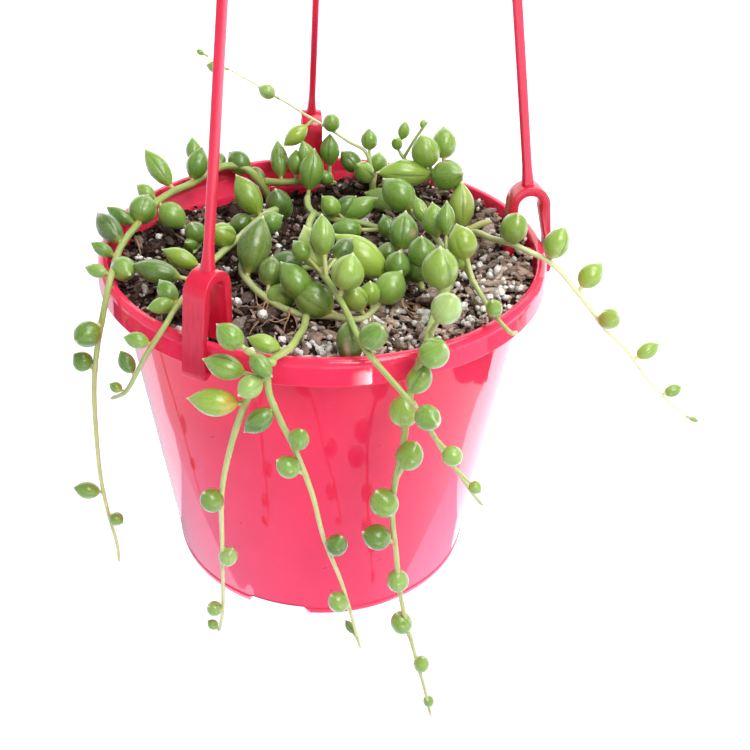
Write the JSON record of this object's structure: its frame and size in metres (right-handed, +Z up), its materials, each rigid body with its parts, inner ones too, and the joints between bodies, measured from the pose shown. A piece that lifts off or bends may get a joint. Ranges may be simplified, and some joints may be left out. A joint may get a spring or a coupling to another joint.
{
  "type": "potted string of tears plant",
  "caption": "Trailing string of tears succulent in a round red plastic hanging pot with a clip-on hanger and hook.",
  "frame": {"origin": "the inner top of the hook's bend, where the planter hangs from a rail or another hook", "axes": "+Z up along the pot's axis, -Y towards the front of the picture, +X to its right; the plane of the rim is 0.3758 m below the origin"},
  "size_m": [0.2029, 0.1637, 0.5226],
  "materials": {
    "pot_plastic": "smooth glossy crimson polypropylene with a faint pink bloom where it catches the light",
    "hanger_plastic": "glossy crimson plastic, slightly deeper than the pot",
    "potting_mix": "matte, crumbly bark and peat mix with white perlite grains",
    "leaf_and_stem": "waxy plump leaves with a translucent slit along one side, on pale yellow-green stems"
  },
  "bodies": {
    "root": {"pot": "pot_plastic", "soil": "potting_mix", "hanger_hook": "hanger_plastic", "hanger_arm_left": "hanger_plastic", "hanger_arm_right": "hanger_plastic", "hanger_arm_back": "hanger_plastic", "stem_left": "leaf_and_stem", "stem_left_short": "leaf_and_stem", "stem_front_left": "leaf_and_stem", "stem_middle": "leaf_and_stem", "stem_centre": "leaf_and_stem", "stem_right_short": "leaf_and_stem", "stem_front_right": "leaf_and_stem", "stem_right": "leaf_and_stem", "stem_back_right": "leaf_and_stem", "stem_back": "leaf_and_stem"}
  },
  "joints": []
}
